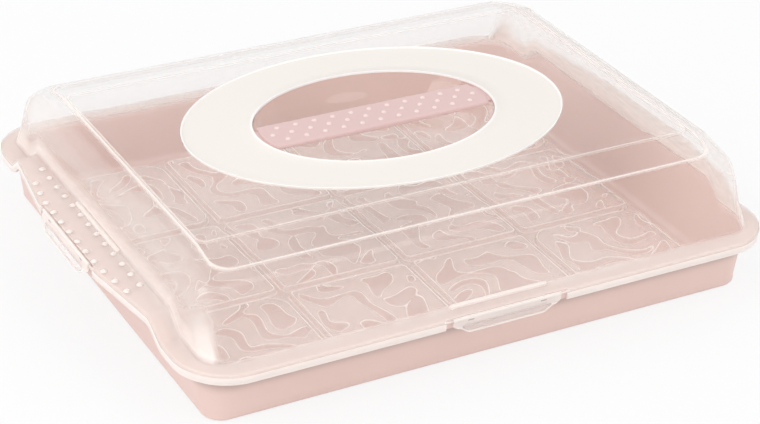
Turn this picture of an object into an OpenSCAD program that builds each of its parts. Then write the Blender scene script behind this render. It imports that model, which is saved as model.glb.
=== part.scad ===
// Rectangular cake carrier: drafted tray, clear domed lid held by four hinged clips,
// recessed carrying handle and a lift-out embossed insert. Millimetres, +Z up,
// X along the length, the long front side faces -Y, origin under the middle of the tray.

/* [Tray] */
// Length of the tray at the table
base_l = 394; // [350:2:440]
// Width of the tray at the table
base_w = 325; // [290:2:370]
// Plan radius of the tray's corners at the table
base_r = 14; // [8:1:24]
// Plan radius of the rim's corners
lip_r = 35; // [30:1:42]
// Height of the rim's top face above the table
rim_z = 42.1; // [34:0.5:52]
// Slope of the tray's walls from upright
draft = 9.8; // [5:0.2:13]
// Thickness of the tray's walls
tray_t = 2; // [1.6:0.1:2.6]
// Thickness of the tray's floor
floor_t = 2.4; // [1.8:0.1:3.2]
// Rounding where the walls meet the floor
floor_r = 3.5; // [2.5:0.5:6]
// How far the rim reaches out past the wall
rim_reach = 7.6; // [6.5:0.2:10]
// Depth of the lip that turns down from the rim
lip_h = 6; // [5:0.5:8]
// Extra depth of the lip under the end clips
lip_extra = 4; // [0:0.5:6]

/* [Grip wings] */
// How far each end wing reaches out past the straight rim
wing_out = 10; // [6:0.5:14]
// How far each end wing is raised above the rim
wing_rise = 11.3; // [6:0.5:14]
// Straight rim left between each wing's ramp and the rim's corner
wing_shy = 16; // [10:0.5:28]
// Length of the ramp from the raised wing down to the rim
wing_ramp = 15; // [10:1:18]
// Pitch of the grip bumps
bump_pitch = 13.9; // [12:0.1:16]
// Height of the grip bumps
bump_h = 0.9; // [0.5:0.1:1.4]

/* [Lid] */
// Wall thickness of the lid
lid_t = 1.4; // [1.1:0.1:1.8]
// Depth of the lid's turned-down skirt
skirt_h = 7.7; // [6.5:0.1:8.5]
// Width of the flat flange round the dome
flange_w = 13.3; // [11:0.1:16]
// Height of the top panel above the table
top_z = 96.3; // [85:0.5:120]
// How far the panel's end edge lies inside the foot of the dome
inset_end = 19; // [15:0.5:26]
// How far the panel's side edge lies inside the foot of the dome
inset_side = 28.6; // [22:0.2:34]
// Width of the sloping strip along each long side of the panel
bevel_w = 27.4; // [20:0.2:32]
// Drop of that strip from its fold to its outer edge
bevel_drop = 5.5; // [3:0.5:9]

/* [Handle well] */
// Panel left plain between the matt ring and the panel's ends
ring_end_gap = 45.3; // [40:0.5:60]
// Panel left plain between the matt ring and the side folds
ring_side_gap = 12.2; // [8:0.2:18]
// Depth of the matt ring below the panel
ring_recess = 1; // [0.6:0.1:1.4]
// Width of the matt ring along the length of the lid
band_end = 49.5; // [42:0.5:54]
// Width of the matt ring across the lid
band_side = 34.8; // [30:0.2:40]
// Depth of the well below the ring
well_depth = 23; // [19:0.5:28]

/* [Handle] */
// Width of the handle bar
bar_w = 31; // [26:0.5:36]
// Depth of the bar's rim at its ends
bar_end_h = 2.6; // [2.4:0.1:3.4]
// Depth of the bar's rim at its middle
bar_mid_h = 4.4; // [4:0.1:7]
// Thickness of the bar's skin
bar_t = 1.8; // [1.4:0.1:2.2]
// Bumps in the middle row on the bar
bar_bumps = 12; // [8:1:13]

/* [Clips] */
// Length of a clip
clip_l = 79; // [74:1:90]
// Length of a clip's pull tab
tab_l = 62; // [50:1:66]
// Height of a clip's plate beside its tab
clip_h = 7.2; // [6.4:0.1:8.5]
// Height of the pull tab below the plate
tab_h = 6.4; // [3.6:0.2:8]
// Lean of the pull tab from upright
tab_lean = 34; // [10:1:45]
// Wall of a clip
clip_t = 1.3; // [1.1:0.1:1.6]
// Gap in the skirt at each end of a clip
clip_gap = 4.8; // [2.4:0.1:6]
// Radius of the clip's hinge barrel
barrel_r = 1.2; // [1.1:0.05:1.4]
// Radius of the hinge pins
pin_r = 0.8; // [0.6:0.05:0.9]

/* [Insert] */
// Cells along the insert
cells_x = 4; // [2:1:6]
// Cells across the insert
cells_y = 3; // [2:1:5]
// Height of the insert's raised cells
insert_h = 4.4; // [3:0.2:6]
// Width of the grooves between the cells
groove_w = 5; // [3:0.5:8]

/* [Clearances] */
// Lid above the tray's rim, and every piece that lifts off
lift_gap = 0.3; // [0.2:0.05:0.5]
// Lid's skirt outside the tray's lip
skirt_gap = 0.4; // [0.3:0.05:0.6]
// Insert inside the tray's rounded floor
insert_gap = 3.5; // [2:0.5:6]
// Bar's ends inside the well's edge
bar_inset = 3; // [2:0.2:4]
// Bar's tongues inside their slots
tongue_gap = 0.15; // [0.1:0.05:0.3]
// Hinge pins inside their sockets
pin_gap = 0.1; // [0.06:0.02:0.16]
// Hinge pins short of the ends of their sockets
pin_end_gap = 0.4; // [0.2:0.1:0.6]

/* [Hidden] */
eps = 0.01;

// Plan sizes, all from the tray's foot print: half lengths, half widths and radii
lean = tan(draft);
wall_a = base_l / 2;
wall_b = base_w / 2;
lip_a = wall_a + rim_z * lean + rim_reach;
lip_b = wall_b + rim_z * lean + rim_reach;
wall_r = lip_r - rim_reach;
rim_edge = 0.9;
gate_r = 12;
gate_depth = 0.5;
wing_half = lip_b - lip_r - wing_shy - wing_ramp;
skirt_a = lip_a + skirt_gap + lid_t;
skirt_b = lip_b + skirt_gap + lid_t;
skirt_r = lip_r + skirt_gap + lid_t;
foot_a = skirt_a - flange_w;
foot_b = skirt_b - flange_w;
foot_r = 16;
crease_a = foot_a - inset_end;
crease_b = foot_b - inset_side;
crease_r = 13;
fold_a = crease_a - 2;
fold_b = crease_b - bevel_w;
ring_a = crease_a - ring_end_gap;
ring_b = fold_b - ring_side_gap;
well_a = ring_a - band_end;
well_b = ring_b - band_side;

// Levels
flange_z = rim_z + lift_gap + lid_t;
ring_z = top_z - ring_recess;

// Clip places: the hinge axis runs just outside the tray's lip
notch = clip_l / 2 + clip_gap;
notch_in = lid_t + skirt_gap + 0.2;
hinge_off = lift_gap + barrel_r + 0.1;
hinge_a = lip_a + hinge_off + wing_out;
hinge_b = lip_b + hinge_off;
hinge_z = flange_z - barrel_r - 0.3;
socket_r = pin_r + pin_gap + 0.7;
socket_l = 3;
socket_end = 0.8;

// ---- outlines -------------------------------------------------------------

// Stops along an end wall, measured from the X axis, and along a side wall, from its corner
edge = 0.2;
END_STOPS = [0, notch / 2, notch - edge, notch, notch + edge, notch + (wing_half - notch) / 3,
    notch + (wing_half - notch) * 2 / 3, wing_half, wing_half + wing_ramp / 2, wing_half + wing_ramp];
side_far = wall_a - lip_r - 8;
SIDE_STOPS = [side_far, notch + (side_far - notch) * 0.66, notch + (side_far - notch) * 0.33,
    notch + edge, notch, notch - edge, notch / 2, 0];
CORNER = [for (q = [0:15:90]) q];

// Stops keep their place where the wall is long enough, and draw in together where it is not
function squeeze(room, last) = min(1, (room - 1) / last);

// A quarter of a rounded rectangle, from the X axis to the Y axis
function quarter(a, b, r) = concat(
    [for (s = END_STOPS) [a, s * squeeze(b - r, wing_half + wing_ramp)]],
    [for (q = CORNER) [a - r + r * cos(q), b - r + r * sin(q)]],
    [for (s = SIDE_STOPS) [s * squeeze(a - r, side_far), b]]);

// The quarter turned into the whole outline, counter-clockwise
function whole(q) = let(n = len(q) - 1) concat(
    [for (i = [0:n - 1]) q[i]], [for (i = [n:-1:1]) [-q[i].x, q[i].y]],
    [for (i = [0:n - 1]) -q[i]], [for (i = [n:-1:1]) [q[i].x, -q[i].y]]);

// The end wings: how far out and how far up the rim goes at a distance from the X axis
function wing_reach(y) = wing_out * lookup(abs(y),
    [[0, 1], [notch + 2, 1], [wing_half, 0.12], [wing_half + wing_ramp, 0]]);
function wing_lift(y) = wing_rise * lookup(abs(y), [[0, 1], [wing_half, 1], [wing_half + wing_ramp, 0]]);
function lip_drop(y) = lip_extra * lookup(abs(y), [[0, 1], [notch + 8, 1], [notch + 36, 0]]);
function in_notch(p, stop) = min(abs(p.x), abs(p.y)) < stop ? 1 : 0;
function outward(p) = abs(p.y) < wing_half + wing_ramp ? [sign(p.x), 0] : [0, sign(p.y)];

// A rim outline at height z, with its wings, drawn in by cut and raised by up at the clip notches.
// A notch's side comes out at the raised height first and only then down, clear of the tray's lip.
function rim_ring(a, b, r, z, cut = 0, up = 0, drop = 0) = [for (p = whole(quarter(a, b, r)))
    let(n = in_notch(p, notch - edge / 2) * cut, m = in_notch(p, notch + edge / 2) * up, o = outward(p))
    [p.x + o.x * (wing_reach(p.y) - n), p.y - o.y * n,
     z + wing_lift(p.y) + m - abs(o.x) * drop * lip_drop(p.y)]];

// A wall outline whose height goes from the crease (t = 0) to the foot (t = 1), less a fixed drop
function panel_z(y) = top_z - bevel_drop * min(1, max(0, (abs(y) - fold_b) / bevel_w));
function wall_ring(a, b, r, t, drop) = [for (p = whole(quarter(a, b, r)))
    let(high = panel_z(min(abs(p.y), crease_b)), low = flange_z + wing_lift(p.y))
    [p.x, p.y, high + (low - high) * t - drop]];

// An ellipse with its points on the bearings of the panel's corners
function oval_ring(a, b, z) = [for (p = whole(quarter(fold_a, fold_b, 6)))
    let(q = atan2(p.y / fold_b, p.x / fold_a)) [a * cos(q), b * sin(q), z]];

// A closed skin through rings of equally many points, each ring joined to the next,
// with the first and the last drawn together to a point on the Z axis
function skin_points(rings, m) = concat([for (r = rings) for (p = r) p],
    [[0, 0, rings[0][0].z], [0, 0, rings[m - 1][0].z]]);
function skin_faces(n, m) = concat(
    [for (i = [0:n - 1]) [n * m, i, (i + 1) % n]],
    [for (k = [0:m - 2]) for (i = [0:n - 1]) let(j = (i + 1) % n)
        each [[k * n + i, (k + 1) * n + j, k * n + j], [k * n + i, (k + 1) * n + i, (k + 1) * n + j]]],
    [for (i = [0:n - 1]) [n * m + 1, (m - 1) * n + (i + 1) % n, (m - 1) * n + i]]);
module skin(rings) {
    m = len(rings);
    polyhedron(skin_points(rings, m), skin_faces(len(rings[0]), m), convexity = 8);
}

// ---- tray -----------------------------------------------------------------

// Distance of the drafted wall's outer face from the centre planes at height z
function out_a(z) = wall_a + z * lean;
function out_b(z) = wall_b + z * lean;

// The wall's outline just under the rim follows the raised wings
function wall_top(inward, z, r) = [for (p = whole(quarter(out_a(z) - inward, out_b(z) - inward, r)))
    [p.x + outward(p).x * wing_lift(p.y) * lean, p.y, z + wing_lift(p.y)]];

module tray() {
    color([0.89, 0.76, 0.73]) difference() {
        skin(tray_rings(rim_z - tray_t, rim_z - lip_h));
        // the moulding gate's shallow dish under the middle of the floor
        translate([0, 0, gate_depth - gate_r]) sphere(r = gate_r);
    }
}

// The tray's section from under the floor, up the outside, round the rim and down the inside
function tray_rings(under, lip_low) = [
    wall_level(floor_r * 0.95, 0, base_r - 2),
    wall_level(floor_r * 0.3, floor_r * 0.3, base_r - 1),
    wall_level(0, floor_r, base_r),
    wall_top(0, under, wall_r),
    rim_ring(lip_a - tray_t, lip_b - tray_t, lip_r - tray_t, under),
    rim_ring(lip_a - tray_t, lip_b - tray_t, lip_r - tray_t, lip_low, drop = 1),
    rim_ring(lip_a, lip_b, lip_r, lip_low, drop = 1),
    rim_ring(lip_a, lip_b, lip_r, rim_z - rim_edge),
    rim_ring(lip_a - rim_edge, lip_b - rim_edge, lip_r - rim_edge, rim_z),
    wall_top(tray_t - 0.8, rim_z, wall_r),
    wall_top(tray_t, rim_z - rim_edge, wall_r - 1),
    wall_level(tray_t, floor_t + floor_r, base_r - tray_t),
    wall_level(tray_t + floor_r * 0.3, floor_t + floor_r * 0.3, base_r - tray_t),
    wall_level(tray_t + floor_r, floor_t, base_r - tray_t - 1)];

function wall_level(inward, z, r) = [for (p = whole(quarter(out_a(z) - inward, out_b(z) - inward, r)))
    [p.x, p.y, z]];

// ---- lid ------------------------------------------------------------------

// Section of the dome from the crease down: share of the end inset, share of the side inset,
// share of the height, fixed drop, plan radius, and how the wall's thickness turns over
DOME = [[0, 0, 0, 0, crease_r, [0.3, 1]], [0.45, 0.18, 0, 1.8, crease_r + 0.5, [0.5, 0.9]],
    [0.73, 0.34, 0, 6, crease_r + 1, [0.8, 0.65]], [0.88, 0.46, 0, 13, crease_r + 2, [1, 0.3]],
    [0.96, 0.73, 0.6, 5, crease_r + 2.5, [1, 0.15]]];

// Section of the well from its rim down: share of its half axes, share of its depth, thickness turn
WELL = [[1, 0, [0.2, 1]], [0.97, 0.22, [1, 0.2]], [0.9, 0.6, [0.9, 0.4]], [0.8, 0.86, [0.6, 0.8]],
    [0.66, 0.98, [0.15, 1]], [0.3, 1, [0, 1]]];

function dome_ring(d, t) = wall_ring(crease_a + d[0] * inset_end - t * d[5].x,
    crease_b + d[1] * inset_side - t * d[5].x, d[4] - t * d[5].x, d[2], d[3] + t * d[5].y);
function foot_ring(a_in, up, t) = rim_flat(foot_a - a_in - t, foot_b - a_in - t, foot_r - t, flange_z + up);
function rim_flat(a, b, r, z) = [for (p = whole(quarter(a, b, r))) [p.x, p.y, z + wing_lift(p.y)]];
function well_ring(w, t) = oval_ring(well_a * w[0] + t * w[2].x, well_b * w[0] + t * w[2].x,
    ring_z - well_depth * w[1] - t * w[2].y);

function turned(list) = [for (i = [len(list) - 1:-1:0]) list[i]];
function lid_rings() = concat(
    turned([for (w = WELL) well_ring(w, 0)]),
    [oval_ring(ring_a, ring_b, ring_z), oval_ring(ring_a + 0.8, ring_b + 0.8, top_z),
     wall_ring(fold_a, fold_b, 6, 0, 0)],
    [for (d = DOME) dome_ring(d, 0)],
    [foot_ring(0.5, 3, 0), foot_ring(-2, 0, 0),
     rim_ring(skirt_a - 1, skirt_b - 1, skirt_r - 1, flange_z, notch_in),
     rim_ring(skirt_a, skirt_b, skirt_r, flange_z - 0.8, notch_in),
     rim_ring(skirt_a, skirt_b, skirt_r, flange_z - skirt_h, notch_in, skirt_h - lid_t),
     rim_ring(skirt_a - lid_t, skirt_b - lid_t, skirt_r - lid_t, flange_z - skirt_h, notch_in - 0.6,
         skirt_h - lid_t),
     rim_ring(skirt_a - lid_t, skirt_b - lid_t, skirt_r - lid_t, flange_z - lid_t, notch_in),
     foot_ring(-2, -lid_t, 0.3), foot_ring(0.5, 2.6, lid_t)],
    turned([for (d = DOME) dome_ring(d, lid_t)]),
    [wall_ring(fold_a, fold_b, 6, 0, lid_t),
     oval_ring(ring_a + 0.8, ring_b + 0.8, top_z - lid_t),
     oval_ring(ring_a, ring_b, ring_z - lid_t)],
    [for (w = WELL) well_ring(w, lid_t)]);

// One low round bump on a grip wing
module grip_bump() {
    translate([0, 0, -lid_t / 3]) cylinder(h = bump_h + lid_t / 3, r1 = bump_r, r2 = bump_r / 2, $fn = 16);
}

// Bumps in two rows on each wing: a straight inner row and an outer row that follows the edge
bump_r = 2.3;
first_bump = 0.5 - floor(wing_half * 0.75 / bump_pitch);
inner_row_x = foot_a + 4.6;
module grip_bumps() {
    pad_z = flange_z + wing_rise;
    for (side = [-1, 1]) {
        for (k = [first_bump:1:-first_bump + 1])
            translate([side * inner_row_x, -side * k * bump_pitch, pad_z]) grip_bump();
        for (k = [first_bump:1:-first_bump])
            translate([side * (skirt_a - 4 + wing_reach(k * bump_pitch)), k * bump_pitch, pad_z]) grip_bump();
    }
}

// Sockets for the clip pins at the ends of each notch
module socket() {
    translate([notch, 0, 0]) rotate([0, 90, 0]) cylinder(h = socket_l, r = socket_r, $fn = 24);
}

module socket_hole() {
    translate([notch - 1, 0, 0]) rotate([0, 90, 0])
        cylinder(h = socket_l + 1 - socket_end, r = pin_r + pin_gap, $fn = 24);
}

module at_clips() {
    for (s = [0, 180]) rotate([0, 0, s]) {
        translate([0, -hinge_b, hinge_z]) children();
        translate([hinge_a, 0, hinge_z + wing_rise]) rotate([0, 0, 90]) children();
    }
}

// Slots in the well's wall that hold the ends of the bar
tongue_w = bar_w - 8;
tongue_t = 1.6;
slot_reach = 4.5;
tongue_z = -bar_end_h - 0.4;
module bar_slots() {
    for (s = [-1, 1]) translate([s * well_a - slot_reach, -tongue_w / 2 - tongue_gap, ring_z + tongue_z - tongue_gap])
        cube([2 * slot_reach, tongue_w + 2 * tongue_gap, tongue_t + 2 * tongue_gap]);
}

// A low ledge on the flange behind each clip, along the foot of the dome
ledge_l = clip_l - 11;
ledge_w = 3;
ledge_h = 2;
module ledge() {
    translate([-ledge_l / 2, -ledge_w, -lid_t / 2]) cube([ledge_l, ledge_w + 1, ledge_h + lid_t / 2]);
    for (s = [-1, 1]) translate([s * ledge_l / 2, -ledge_w / 2, -lid_t / 2])
        cylinder(h = ledge_h + lid_t / 2, r = ledge_w / 2, $fn = 24);
}

module ledges() {
    for (s = [0, 180]) rotate([0, 0, s]) {
        translate([0, -foot_b, flange_z]) ledge();
        translate([foot_a, 0, flange_z + wing_rise]) rotate([0, 0, 90]) ledge();
    }
}

module lid() {
    color([0.95, 0.94, 0.93, 0.45]) difference() {
        union() {
            skin(turned(lid_rings()));
            grip_bumps();
            ledges();
            at_clips() for (m = [0, 1]) mirror([m, 0, 0]) socket();
        }
        at_clips() for (m = [0, 1]) mirror([m, 0, 0]) socket_hole();
        bar_slots();
    }
}

// ---- handle ---------------------------------------------------------------

// The bar's plan: straight long edges, and ends that follow the oval well at a clearance
bar_a = well_a - bar_inset;
bar_bo = well_b - bar_inset;
function bar_plan(inward) = let(h = bar_w / 2 - inward, q0 = asin(h / bar_bo)) concat(
    [for (k = [-6:6]) let(q = q0 * k / 6) [(bar_a - inward) * cos(q), (bar_bo - inward) * sin(q)]],
    [for (k = [-6:6]) let(q = 180 + q0 * k / 6) [(bar_a - inward) * cos(q), (bar_bo - inward) * sin(q)]]);

// Side view of the bar: level on top, its lower edge sagging to the middle
function bar_side(up, low) = concat([[bar_a + 1, up], [-bar_a - 1, up]],
    [for (k = [-8:8]) [bar_a * 1.01 * k / 8, low - (bar_mid_h - bar_end_h) * (1 - pow(k / 8, 2))]]);

module bar_block(inward, up, low) {
    intersection() {
        translate([0, 0, -20]) linear_extrude(40) polygon(bar_plan(inward));
        rotate([90, 0, 0]) translate([0, 0, -bar_w]) linear_extrude(2 * bar_w) polygon(bar_side(up, low));
    }
}

row_step = bar_w * 0.27;
bump_step = 2 * bar_a * 0.915 / (bar_bumps - 1);
module handle() {
    color([0.86, 0.7, 0.69]) translate([0, 0, ring_z]) {
        difference() {
            bar_block(0, 0, -bar_end_h);
            translate([0, 0, -bar_t]) intersection() {
                bar_block(bar_t, 0, -30);
                cube([2 * bar_a - 18, bar_w, 60], center = true);
            }
        }
        // a rib across the hollow at each third of the bar
        for (s = [-1, 0, 1]) translate([s * bar_a * 0.45 - 0.7, -bar_w / 2 + 1, -bar_end_h])
            cube([1.4, bar_w - 2, bar_end_h - 1]);
        // tongues that sit in the slots of the well's wall
        for (s = [-1, 1]) translate([s > 0 ? bar_a - 4 : -well_a - 1, -tongue_w / 2, tongue_z])
            cube([well_a + 5 - bar_a, tongue_w, tongue_t]);
        for (r = [-1, 0, 1]) for (k = [0:bar_bumps - 1 - abs(r)])
            translate([(k - (bar_bumps - 1 - abs(r)) / 2) * bump_step, r * row_step, -0.5])
                cylinder(h = 1.3, r1 = 2.4, r2 = 1.2, $fn = 20);
    }
}

// ---- clips ----------------------------------------------------------------

// A clip in the frame of its hinge axis: X along the axis, -Y away from the carrier
module plate_outline() {
    top = clip_l / 2;
    foot = min(tab_l / 2 + 4, top - 3.2);
    polygon([[-top, 0.2], [-top, -clip_h + 3.2], [-top + 0.9, -clip_h + 1.5], [-top + 2.8, -clip_h + 0.4],
        [-foot, -clip_h], [foot, -clip_h], [top - 2.8, -clip_h + 0.4], [top - 0.9, -clip_h + 1.5],
        [top, -clip_h + 3.2], [top, 0.2]]);
}

module tab_outline() {
    foot = tab_l / 2;
    polygon([[-foot - 5, 0], [-foot + 1, -tab_h + 0.4], [-foot + 3, -tab_h], [foot - 3, -tab_h],
        [foot - 1, -tab_h + 0.4], [foot + 5, 0]]);
}

// The sunk window above the tab's thick lower edge
module window_outline() {
    foot = tab_l / 2;
    polygon([[-foot - 1.4, -1], [-foot + 2.6, -tab_h + edge_h], [foot - 2.6, -tab_h + edge_h], [foot + 1.4, -1]]);
}

edge_h = 1;
pocket_depth = 0.5;
slot_l = 4.6;
slot_h = 1;
slot_x = clip_l * 0.336;
slot_z = -2.6;
module clip() {
    face_y = clip_t - barrel_r;
    catch_z = rim_z - lip_h - hinge_z;
    color([0.95, 0.94, 0.94, 0.6]) {
        rotate([0, 90, 0]) translate([0, 0, -clip_l / 2]) cylinder(h = clip_l, r = barrel_r, $fn = 24);
        rotate([0, 90, 0]) translate([0, 0, -pin_l]) cylinder(h = 2 * pin_l, r = pin_r, $fn = 24);
        // the plate hangs from the barrel and has two short blind slots near its hinge
        translate([0, face_y, 0]) rotate([90, 0, 0]) difference() {
            linear_extrude(clip_t) plate_outline();
            for (s = [-1, 1]) translate([s * slot_x - slot_l / 2, slot_z, clip_t - pocket_depth])
                cube([slot_l, slot_h, 2 * pocket_depth]);
        }
        // the catch bears on the lip from outside
        translate([-tab_l / 2, face_y - 0.3, catch_z + 0.6]) cube([tab_l, catch_reach + 0.3, clip_t]);
        // the pull tab leans out below the plate, with a thick lower edge
        translate([0, face_y, -clip_h + 0.4]) rotate([-tab_lean, 0, 0]) rotate([90, 0, 0]) {
            difference() {
                linear_extrude(clip_t) tab_outline();
                translate([0, 0, clip_t - pocket_depth]) linear_extrude(2 * pocket_depth) window_outline();
            }
            translate([-tab_l / 2 + 3, -tab_h, 0]) cube([tab_l - 6, edge_h, clip_t + 0.8]);
        }
    }
}
pin_l = notch + socket_l - socket_end - pin_end_gap;
catch_reach = hinge_off - lift_gap - clip_t + barrel_r;

module clip_front() { translate([0, -hinge_b, hinge_z]) clip(); }
module clip_back() { translate([0, hinge_b, hinge_z]) rotate([0, 0, 180]) clip(); }
module clip_left() { translate([-hinge_a, 0, hinge_z + wing_rise]) rotate([0, 0, -90]) clip(); }
module clip_right() { translate([hinge_a, 0, hinge_z + wing_rise]) rotate([0, 0, 90]) clip(); }

// ---- insert ---------------------------------------------------------------

insert_a = wall_a - tray_t - floor_r - insert_gap;
insert_b = wall_b - tray_t - floor_r - insert_gap;
insert_z = floor_t + lift_gap;
insert_t = 1.2;
cell_l = (2 * insert_a - (cells_x + 1) * groove_w) / cells_x;
cell_w = (2 * insert_b - (cells_y + 1) * groove_w) / cells_y;

module rounded(a, b, r) {
    for (x = [-1, 1]) for (y = [-1, 1]) translate([x * (a - r), y * (b - r)]) circle(r, $fn = 40);
    square([2 * a, 2 * (b - r)], center = true);
    square([2 * (a - r), 2 * b], center = true);
}

// The middles of the cells
module at_cells() {
    for (i = [0:cells_x - 1]) for (j = [0:cells_y - 1]) {
        $corner_r = corner_cell(i, j) ? 14 : 4;
        $turn = (i + j) % 2 * 180;
        translate([-insert_a + groove_w + cell_l / 2 + i * (cell_l + groove_w),
            -insert_b + groove_w + cell_w / 2 + j * (cell_w + groove_w), 0]) children();
    }
}

// A raised rib along an arc
module rib(r, from, to, w = 1.6) {
    linear_extrude(rib_h) polygon(concat(
        [for (k = [0:10]) let(q = from + (to - from) * k / 10) (r - w / 2) * [cos(q), sin(q)]],
        [for (k = [10:-1:0]) let(q = from + (to - from) * k / 10) (r + w / 2) * [cos(q), sin(q)]]));
}

// A loose relief of arcs, scaled to the cell
module relief() {
    u = min(cell_l, cell_w);
    rib(u * 0.14, 30, 300);
    translate([-cell_l * 0.27, cell_w * 0.1]) rib(u * 0.2, 200, 420);
    translate([cell_l * 0.26, -cell_w * 0.12]) rib(u * 0.22, 40, 230);
    translate([cell_l * 0.3, cell_w * 0.26]) rib(u * 0.1, -40, 250);
    translate([-cell_l * 0.26, -cell_w * 0.28]) rib(u * 0.12, 100, 400);
}

module insert() {
    color([0.93, 0.9, 0.89, 0.5]) translate([0, 0, insert_z]) difference() {
        union() {
            linear_extrude(insert_t) rounded(insert_a, insert_b, 20);
            at_cells() linear_extrude(insert_h) rounded(cell_l / 2, cell_w / 2, $corner_r);
            translate([0, 0, insert_h - eps]) at_cells() rotate([0, 0, $turn]) relief();
        }
        // every cell is hollow from below
        translate([0, 0, -eps]) at_cells()
            linear_extrude(insert_h - insert_t) rounded(cell_l / 2 - insert_t, cell_w / 2 - insert_t, $corner_r - insert_t);
    }
}
rib_h = 0.6;
function corner_cell(i, j) = (i == 0 || i == cells_x - 1) && (j == 0 || j == cells_y - 1);

tray();
insert();
lid();
handle();
clip_front();
clip_back();
clip_left();
clip_right();
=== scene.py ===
"""A clear-lidded cake carrier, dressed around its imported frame.

Every piece is a surface worked out on a grid with numpy. Sizes are in millimetres, in the frame's
own axes: +Z up, +X along the carrier, the long front side facing -Y.
"""

import math

import bpy
import numpy as np
from mathutils import Matrix, Vector


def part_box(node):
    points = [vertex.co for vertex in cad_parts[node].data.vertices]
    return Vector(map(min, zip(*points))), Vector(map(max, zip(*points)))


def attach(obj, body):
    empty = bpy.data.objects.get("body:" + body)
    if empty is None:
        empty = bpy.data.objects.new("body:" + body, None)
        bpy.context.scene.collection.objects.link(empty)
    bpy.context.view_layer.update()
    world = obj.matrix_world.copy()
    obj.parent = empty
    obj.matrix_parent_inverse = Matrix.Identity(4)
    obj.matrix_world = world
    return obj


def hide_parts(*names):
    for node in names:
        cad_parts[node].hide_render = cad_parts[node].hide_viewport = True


bl_info = {
    "name": "Cake Carrier",
    "version": (1, 0, 0),
    "blender": (4, 5, 0),
    "location": "View3D > Sidebar > Cake Carrier",
    "description": "Builds a clear-lidded cake carrier with a pink tray, clips and an embossed insert",
    "category": "Add Mesh",
}

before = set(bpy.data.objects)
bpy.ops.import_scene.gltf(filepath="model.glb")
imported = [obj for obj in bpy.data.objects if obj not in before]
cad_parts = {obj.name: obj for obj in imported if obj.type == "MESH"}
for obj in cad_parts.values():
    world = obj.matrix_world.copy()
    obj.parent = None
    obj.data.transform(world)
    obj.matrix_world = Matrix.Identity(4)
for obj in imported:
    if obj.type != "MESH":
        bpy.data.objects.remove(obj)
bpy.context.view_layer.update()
MM = 0.001

TRAY_BOX = np.array(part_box("tray")) / MM
LID_BOX = np.array(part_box("lid")) / MM
INSERT_BOX = np.array(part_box("insert")) / MM


# ---- sizes ----------------------------------------------------------------------------------

WING_OUT = 10.0          # how far an end wing reaches out past the straight rim
WING_RISE = 11.3         # how far it is raised
WING_RAMP = 15.0         # length of the ramp down to the straight rim
RIM_Z = TRAY_BOX[1][2] - WING_RISE
LIP_A = TRAY_BOX[1][0] - WING_OUT
LIP_B = TRAY_BOX[1][1]
DRAFT = math.radians(9.8)
RIM_REACH = 7.6          # from the wall, as it would meet the rim, out to the lip
WALL_A = LIP_A - RIM_REACH - RIM_Z * math.tan(DRAFT)
WALL_B = LIP_B - RIM_REACH - RIM_Z * math.tan(DRAFT)
BASE_R = 14.0            # plan radius of the tray's corners at the table
LIP_R = 35.0
WALL_R = LIP_R - RIM_REACH
WING_SHY = 16.0          # straight rim left between a ramp and the corner
WING_HALF = LIP_B - LIP_R - WING_SHY - WING_RAMP
KNEE = 2.5               # half length of the rounding where a rim changes slope
WING_END = WING_HALF + WING_RAMP + KNEE
LIP_H = 6.0
LIP_EXTRA = 4.0          # how much deeper the lip is under an end clip
EDGE_R = 0.9             # rounding of the lip's and the skirt's upper edge
RIM_R = 1.0              # rounding where the rim turns down into the tray
TRAY_T = 2.0
FLOOR_T = 2.4
FLOOR_R = 3.5
SHADE_START = 20.5       # height on the wall where the painted shade under the lip begins
SHADE_RUN = 9.0

LIFT_GAP = 0.3
SKIRT_GAP = 0.4
LID_T = 1.4
SKIRT_H = 7.7
SKIRT_BRIGHT = 4.9       # height of the skirt's brighter lower part
FLANGE_Z = RIM_Z + LIFT_GAP + LID_T
BEAD_H = 0.3             # height of the fine bead along the panel's folds and creases
BEAD_W = 0.9             # half width of that bead
TOP_Z = LID_BOX[1][2] - BEAD_H
SKIRT_A = LIP_A + SKIRT_GAP + LID_T
SKIRT_B = LIP_B + SKIRT_GAP + LID_T
SKIRT_R = LIP_R + SKIRT_GAP + LID_T
FLANGE_W = 13.3
FOOT_A = SKIRT_A - FLANGE_W
FOOT_B = SKIRT_B - FLANGE_W
FOOT_R = 16.0
FOOT_H = 3.2             # height at which the dome's foot begins to turn out
DOME_IN_A = 19.0         # how far an end wall leans in from its foot to the crease
DOME_IN_B = 28.6         # how far a side wall does
CREASE_A = FOOT_A - DOME_IN_A
CREASE_B = FOOT_B - DOME_IN_B
CREASE_R = 13.0
BEVEL_W = 27.4           # width of the panel's sloping strips
BEVEL_DROP = 5.5
FOLD_A = CREASE_A - 2
FOLD_B = CREASE_B - BEVEL_W
FOLD_R = 6.0
RING_A = CREASE_A - 45.3
RING_B = FOLD_B - 12.2
WELL_A = RING_A - 49.5
WELL_B = RING_B - 34.8
RING_Z = LID_BOX[1][2] - 1.0
RING_RECESS = TOP_Z - RING_Z
WELL_DEPTH = 23.0
WELL_LIP = 1.2           # how far the clear bowl starts below the ring
WELL_SHY = 0.15          # gap between the bowl and the ring's rolled edge

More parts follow.
